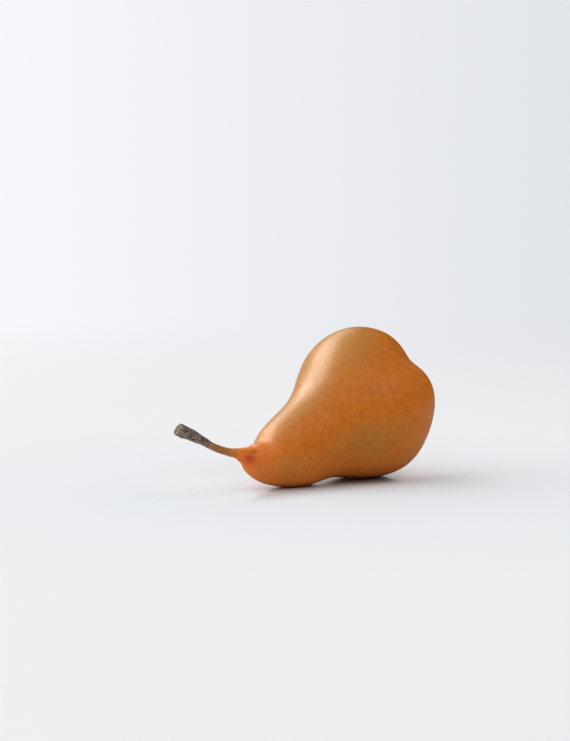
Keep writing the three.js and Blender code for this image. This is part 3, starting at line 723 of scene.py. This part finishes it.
# ------------------------------------------------------------------ floor, light, camera
RIGHT, FORWARD = np.array([0.7328, -0.6804, 0.0]), np.array([0.6804, 0.7328, 0.0])   # as the camera sees them
CENTRE = np.array([0.018, 0.0, 0.033])


def aim(azimuth, elevation):
    """Unit vector: azimuth 0 is behind the fruit as the camera sees it, -90 its left."""
    a, e = math.radians(azimuth), math.radians(elevation)
    return (FORWARD * math.cos(a) + RIGHT * math.sin(a)) * math.cos(e) + np.array([0, 0, math.sin(e)])


def disc(name, radius, rings=24, around=96):
    verts, faces = [(0, 0, 0)], []
    for i in range(1, rings + 1):
        r = radius * (i / rings) ** 1.6
        verts += [(r * math.cos(2 * math.pi * j / around), r * math.sin(2 * math.pi * j / around), 0) for j in range(around)]
    for j in range(around):
        faces.append((0, 1 + j, 1 + (j + 1) % around))
        for i in range(rings - 1):
            b = 1 + i * around
            faces.append((b + j, b + around + j, b + around + (j + 1) % around, b + (j + 1) % around))
    me = bpy.data.meshes.new(name)
    me.from_pydata(verts, [], faces)
    ob = bpy.data.objects.new(name, me)
    bpy.context.scene.collection.objects.link(ob)
    return ob


def backdrop(tree, ray):
    """The backdrop's pale grey along a ray: a little lighter at the left than at the right."""
    ray = tree.node("ShaderNodeVectorMath", {0: ray}, operation="NORMALIZE").outputs[0]
    across = tree.node("ShaderNodeVectorMath", {0: ray, 1: tuple(RIGHT)}, operation="DOT_PRODUCT").outputs["Value"]
    return tree.mix(tree.math("ADD", tree.math("MULTIPLY", across, 3.2), 0.5, clamp=True), (0.930, 0.938, 0.968), (0.755, 0.776, 0.815))


floor = disc("floor", 4.0)
floor.location.z = -0.00003
ft = Tree("floor")
lit = ft.node("ShaderNodeBsdfPrincipled", {"Base Color": (1, 1, 1, 1), "Roughness": 0.6, "Specular IOR Level": 0.0})
shiny = ft.node("ShaderNodeBsdfPrincipled", {"Base Color": (1, 1, 1, 1), "Roughness": 0.20, "Specular IOR Level": 0.5, "IOR": 1.45})
far = ft.node("ShaderNodeVectorMath", {0: ft.coords()}, operation="LENGTH")
# painted shade: the floor's colour is darker and bluer close to the fruit, to cancel the warm light the fruit throws on
# it
tint = ft.mix(ft.remap(far.outputs["Value"], 0.03, 0.26), (0.745, 0.782, 0.820), (0.800, 0.802, 0.832))
# painted shadow where the floor is least lit, right under the belly: its colour is darkened there for camera rays only
under = ft.node("ShaderNodeVectorMath", {0: ft.coords(), 1: (0.0355, -0.0045, 0)}, operation="DISTANCE").outputs["Value"]
path = ft.node("ShaderNodeLightPath")
tint = ft.mix(ft.math("MULTIPLY", ft.remap(under, 0.024, 0.010, 0.0, 0.40), path.outputs["Is Camera Ray"]), tint, (0, 0, 0))
# painted reflection: the floor shows at half its brightness in the fruit's gloss
ft.put(lit.inputs["Base Color"], ft.mix(ft.math("MULTIPLY", path.outputs["Is Glossy Ray"], 0.5), tint, (0, 0, 0)))
ft.put(shiny.inputs["Base Color"], tint)
# the sheen shows only round the two resting spots, and fades out in front
neck = ft.node("ShaderNodeVectorMath", {0: ft.coords(), 1: (-0.008, -0.004, 0)}, operation="DISTANCE").outputs["Value"]
zone = ft.remap(ft.math("MINIMUM", under, neck), 0.080, 0.026, 0.0, 1.0)
depth = ft.node("ShaderNodeSeparateXYZ", {0: ft.coords()}).outputs[1]
shine = ft.math("MULTIPLY", path.outputs["Is Camera Ray"], ft.remap(depth, -0.034, -0.008, 0.0, 0.95))
shine = ft.math("MULTIPLY", shine, zone)
close = ft.node("ShaderNodeMixShader", {0: shine, 1: lit.outputs[0], 2: shiny.outputs[0]})
# painted light: from about 0.2 m outwards the floor turns into a glow in the backdrop's grey instead of lit floor; the
# glow is weaker in gloss and in bounce light
from_camera = ft.node("ShaderNodeVectorMath", {0: ft.coords(), 1: (-0.598, -0.631, 0.126)}, operation="SUBTRACT")
dimmed = ft.math("SUBTRACT", 1.0, ft.math("ADD", ft.math("MULTIPLY", path.outputs["Is Glossy Ray"], 0.5), ft.math("MULTIPLY", path.outputs["Is Diffuse Ray"], 0.3)))
glow = ft.node("ShaderNodeEmission", {"Color": backdrop(ft, from_camera.outputs[0]), "Strength": dimmed})
mixer = ft.node("ShaderNodeMixShader", {0: ft.remap(far.outputs["Value"], 0.20, 1.45), 1: close.outputs[0], 2: glow.outputs[0]})
ft.links.new(mixer.outputs[0], ft.out.inputs["Surface"])
floor.data.materials.append(ft.mat)

world = bpy.data.worlds.new("studio")
bpy.context.scene.world = world
world.use_nodes = True
bg = world.node_tree.nodes.get("Background") or world.node_tree.nodes.new("ShaderNodeBackground")
sky = Tree.__new__(Tree)
sky.nodes, sky.links = world.node_tree.nodes, world.node_tree.links
sky.put(bg.inputs["Color"], backdrop(sky, sky.node("ShaderNodeTexCoord").outputs["Generated"]))
bg.inputs["Strength"].default_value = 1.0
world.cycles_visibility.glossy = False      # the tent below lights the fruit in its place
world.cycles_visibility.diffuse = False


only_floor = bpy.data.collections.new("only_floor")
only_floor.objects.link(floor)
only_fruit = bpy.data.collections.new("only_fruit")
for ob in (skin, stem, *sepals, stamens):
    only_fruit.objects.link(ob)


def softbox(name, azimuth, elevation, distance, width, height, radiance, colour=(1, 1, 1), diffuse=True, glossy=True, on=None):
    data = bpy.data.lights.new(name, "AREA")
    data.shape, data.size, data.size_y = "RECTANGLE", width, height
    data.energy = radiance * math.pi * width * height
    data.color = colour
    ob = bpy.data.objects.new(name, data)
    d = aim(azimuth, elevation)
    ob.location = Vector(CENTRE + d * distance)
    ob.rotation_mode = "QUATERNION"
    ob.rotation_quaternion = Vector(d).to_track_quat("Z", "Y")
    ob.visible_camera = False
    ob.visible_diffuse, ob.visible_glossy = diffuse, glossy
    if not diffuse:                       # lights that only show as gloss: on the fruit, or as the floor's sheen
        ob.light_linking.receiver_collection = on or only_fruit
    bpy.context.scene.collection.objects.link(ob)
    return ob


def tent(radius=5.0, around=48, rings=16):
    """Half a sphere of soft light: bright behind and above, dim low down on the near side."""
    verts, faces = [(0, 0, radius)], []
    for i in range(1, rings + 1):
        e = math.pi / 2 * (1 - i / rings)
        verts += [(radius * math.cos(e) * math.cos(2 * math.pi * j / around), radius * math.cos(e) * math.sin(2 * math.pi * j / around), radius * math.sin(e) - 0.02) for j in range(around)]
    for j in range(around):
        faces.append((0, 1 + j, 1 + (j + 1) % around))
        for i in range(rings - 1):
            b = 1 + i * around
            faces.append((b + j, b + around + j, b + around + (j + 1) % around, b + (j + 1) % around))
    me = bpy.data.meshes.new("tent")
    me.from_pydata(verts, [], faces)
    ob = bpy.data.objects.new("tent", me)
    bpy.context.scene.collection.objects.link(ob)
    t = Tree("tent")
    d = t.node("ShaderNodeVectorMath", {0: t.coords()}, operation="NORMALIZE").outputs[0]
    ahead = t.node("ShaderNodeVectorMath", {0: d, 1: tuple(FORWARD)}, operation="DOT_PRODUCT").outputs["Value"]
    across = t.node("ShaderNodeVectorMath", {0: d, 1: tuple(RIGHT)}, operation="DOT_PRODUCT").outputs["Value"]
    up = t.node("ShaderNodeSeparateXYZ", {0: d}).outputs[2]
    near = t.remap(up, 0.24, 0.82, TENT_NEAR_LOW, TENT_NEAR_HIGH)
    back = t.remap(ahead, -0.30, 0.55)
    level = t.math("ADD", t.math("MULTIPLY", near, t.math("SUBTRACT", 1.0, back)), t.math("MULTIPLY", back, TENT_BACK))
    level = t.math("MULTIPLY", level, t.math("SUBTRACT", 1.0, t.math("MULTIPLY", across, TENT_SIDE)))
    em = t.node("ShaderNodeEmission", {"Color": (1.0, 0.992, 0.982, 1), "Strength": level})
    t.links.new(em.outputs[0], t.out.inputs["Surface"])
    me.materials.append(t.mat)
    ob.visible_camera = ob.visible_glossy = ob.visible_shadow = False


TENT_NEAR_LOW, TENT_NEAR_HIGH, TENT_BACK, TENT_SIDE = 0.05, 1.60, 0.64, 0.16
tent()
softbox("key", -58, 42, 2.4, 2.6, 1.35, 0.90, (1.0, 0.985, 0.96), glossy=False)
softbox("low_left", -100, 9, 2.2, 1.8, 0.6, 3.5, (1.0, 0.985, 0.96), glossy=False)
softbox("key_gloss", -71, 42, 2.4, 2.3, 1.35, 11.6, (1.0, 0.985, 0.965), diffuse=False)
softbox("side_gloss", -24, 40, 2.4, 1.7, 1.2, 2.9, (1.0, 0.985, 0.965), diffuse=False)
softbox("top_gloss", -60, 78, 2.4, 1.6, 1.3, 1.0, (1.0, 0.985, 0.965), diffuse=False)
softbox("fill_gloss", 148, 42, 1.6, 0.62, 0.5, 1.0, diffuse=False)
softbox("floor_sheen", 0, 17, 2.6, 4.4, 1.7, 0.92, (0.985, 0.99, 1.0), diffuse=False, on=only_floor)
softbox("rim_gloss", -34, 5, 2.2, 2.9, 0.5, 0.65, diffuse=False)

cam_data = bpy.data.cameras.new("camera")
cam_data.lens, cam_data.sensor_width, cam_data.sensor_fit = 91.82, 36.0, "AUTO"
cam_data.clip_start, cam_data.clip_end = 0.01, 50
camera = bpy.data.objects.new("camera", cam_data)
view = Vector((0.67801, 0.730226, -0.084101)).normalized()
right = Vector((0.7328, -0.6804, 0)).normalized()
upward = right.cross(view).normalized()
right = view.cross(upward).normalized()
rot = Matrix((right, upward, -view)).transposed()
camera.matrix_world = Matrix.Translation((-0.59732, -0.63094, 0.12643)) @ rot.to_4x4()
bpy.context.scene.collection.objects.link(camera)
bpy.context.scene.camera = camera

settings = bpy.context.scene.view_settings
settings.view_transform = "Standard"
settings.look = "None"
settings.exposure, settings.gamma = 0.0, 1.0
